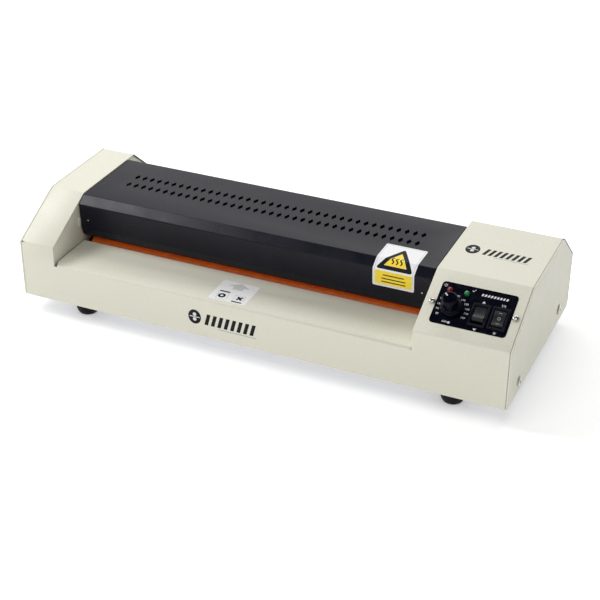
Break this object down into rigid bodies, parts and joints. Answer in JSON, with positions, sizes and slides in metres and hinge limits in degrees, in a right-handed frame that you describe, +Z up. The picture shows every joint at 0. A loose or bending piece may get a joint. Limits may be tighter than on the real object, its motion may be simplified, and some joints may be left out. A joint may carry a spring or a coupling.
{
  "type": "pouch laminator",
  "caption": "Desktop roller laminator: cream sheet-metal casing with a feed shelf between two hoods, black vented cover, orange silicone rollers, dial and rocker switches.",
  "frame": {"origin": "centre of the bounding box at the bottom of the feet", "axes": "+X along the rollers towards the control hood, +Y from the feed shelf to the delivery tray, +Z up"},
  "size_m": [0.5116, 0.208, 0.1135],
  "materials": {
    "cream_paint": "wrinkled powder coat, satin",
    "black_cover": "smooth satin paint",
    "zinc_steel": "zinc-plated sheet",
    "bright_steel": "ground",
    "screw_chrome": "nickel-plated",
    "silicone": "orange silicone rubber, semi-gloss",
    "gear_plastic": "ivory acetal",
    "bush_plastic": "heat-resistant polymer",
    "heat_aluminium": "extruded",
    "mica": "mica-wrapped element",
    "black_plastic": "moulded, fine texture",
    "rocker_plastic": "moulded, satin",
    "red_lens": "tinted clear",
    "green_lens": "tinted clear",
    "foot_rubber": "matte"
  },
  "bodies": {
    "casing": {"front_shell": "cream_paint", "rear_panel": "cream_paint", "left_side_panel": "cream_paint", "right_side_panel": "cream_paint", "left_inner_wall": "cream_paint", "right_inner_wall": "cream_paint", "top_cover": "black_cover", "base_plate": "zinc_steel", "left_frame": "zinc_steel", "right_frame": "zinc_steel", "motor": "zinc_steel", "front_spring_left": "bright_steel", "front_spring_right": "bright_steel", "rear_spring_left": "bright_steel", "rear_spring_right": "bright_steel", "control_screw_left": "screw_chrome", "control_screw_right": "screw_chrome", "left_screw_front": "screw_chrome", "left_screw_rear": "screw_chrome", "right_screw_front": "screw_chrome", "right_screw_rear": "screw_chrome", "front_lower_bush_left": "bush_plastic", "front_lower_bush_right": "bush_plastic", "rear_lower_bush_left": "bush_plastic", "rear_lower_bush_right": "bush_plastic", "lower_heating_plate": "heat_aluminium", "upper_heating_plate": "heat_aluminium", "lower_heater": "mica", "upper_heater": "mica", "thermostat": "black_plastic", "drive_switch_body": "black_plastic", "heat_switch_body": "black_plastic", "power_inlet": "black_plastic", "power_lamp": "red_lens", "ready_lamp": "green_lens", "front_left_foot": "foot_rubber", "front_right_foot": "foot_rubber", "rear_left_foot": "foot_rubber", "rear_right_foot": "foot_rubber"},
    "front_lower_roller": {"front_lower_shaft": "bright_steel", "front_lower_sleeve": "silicone", "front_lower_gear": "gear_plastic"},
    "rear_lower_roller": {"rear_lower_shaft": "bright_steel", "rear_lower_sleeve": "silicone", "rear_lower_gear": "gear_plastic"},
    "front_upper_carriage": {"front_upper_bush_left": "bush_plastic", "front_upper_bush_right": "bush_plastic"},
    "rear_upper_carriage": {"rear_upper_bush_left": "bush_plastic", "rear_upper_bush_right": "bush_plastic"},
    "front_upper_roller": {"front_upper_shaft": "bright_steel", "front_upper_sleeve": "silicone", "front_upper_gear": "gear_plastic"},
    "rear_upper_roller": {"rear_upper_shaft": "bright_steel", "rear_upper_sleeve": "silicone", "rear_upper_gear": "gear_plastic"},
    "idler": {"idler_gear": "gear_plastic"},
    "pinion": {"motor_pinion": "bright_steel"},
    "knob": {"temperature_knob": "black_plastic"},
    "drive_rocker": {"drive_switch_rocker": "rocker_plastic"},
    "heat_rocker": {"heat_switch_rocker": "rocker_plastic"}
  },
  "joints": [
    {"name": "front_lower_spin", "type": "hinge", "parent": "casing", "child": "front_lower_roller", "pos_m": [0, -0.033, 0.0508], "axis": [1, 0, 0], "continuous": true},
    {"name": "rear_lower_spin", "type": "hinge", "parent": "casing", "child": "rear_lower_roller", "pos_m": [0, 0.036, 0.0508], "axis": [1, 0, 0], "continuous": true},
    {"name": "front_upper_lift", "type": "slide", "parent": "casing", "child": "front_upper_carriage", "axis": [0, 0, 1], "range_m": [0, 0.0015], "stiffness_N_per_m": 4000, "springref_m": -0.003, "deforming": ["front_spring_left", "front_spring_right"]},
    {"name": "rear_upper_lift", "type": "slide", "parent": "casing", "child": "rear_upper_carriage", "axis": [0, 0, 1], "range_m": [0, 0.0015], "stiffness_N_per_m": 4000, "springref_m": -0.003, "deforming": ["rear_spring_left", "rear_spring_right"]},
    {"name": "front_upper_spin", "type": "hinge", "parent": "front_upper_carriage", "child": "front_upper_roller", "pos_m": [0, -0.033, 0.0771], "axis": [1, 0, 0], "continuous": true},
    {"name": "rear_upper_spin", "type": "hinge", "parent": "rear_upper_carriage", "child": "rear_upper_roller", "pos_m": [0, 0.036, 0.0771], "axis": [1, 0, 0], "continuous": true},
    {"name": "idler_spin", "type": "hinge", "parent": "casing", "child": "idler", "pos_m": [0.176, 0.0015, 0.04664], "axis": [1, 0, 0], "continuous": true},
    {"name": "pinion_spin", "type": "hinge", "parent": "casing", "child": "pinion", "pos_m": [0.176, 0.0015, 0.07684], "axis": [1, 0, 0], "continuous": true},
    {"name": "temperature_turn", "type": "hinge", "parent": "casing", "child": "knob", "pos_m": [0.1885, -0.07675, 0.09248], "axis": [0, -0.4768, 0.879], "range_deg": [-187, 83]},
    {"name": "drive_rock", "type": "hinge", "parent": "casing", "child": "drive_rocker", "pos_m": [0.2146, -0.0779, 0.09208], "axis": [1, 0, 0], "range_deg": [0, 18]},
    {"name": "heat_rock", "type": "hinge", "parent": "casing", "child": "heat_rocker", "pos_m": [0.2328, -0.07737, 0.09237], "axis": [1, 0, 0], "range_deg": [-9, 9]}
  ],
  "couplings": [
    {"joint": "rear_lower_spin", "follows": "front_lower_spin", "ratio": 1},
    {"joint": "front_upper_spin", "follows": "front_lower_spin", "ratio": -1},
    {"joint": "rear_upper_spin", "follows": "front_lower_spin", "ratio": -1},
    {"joint": "idler_spin", "follows": "front_lower_spin", "ratio": -0.60606},
    {"joint": "pinion_spin", "follows": "front_lower_spin", "ratio": 1.5385}
  ]
}
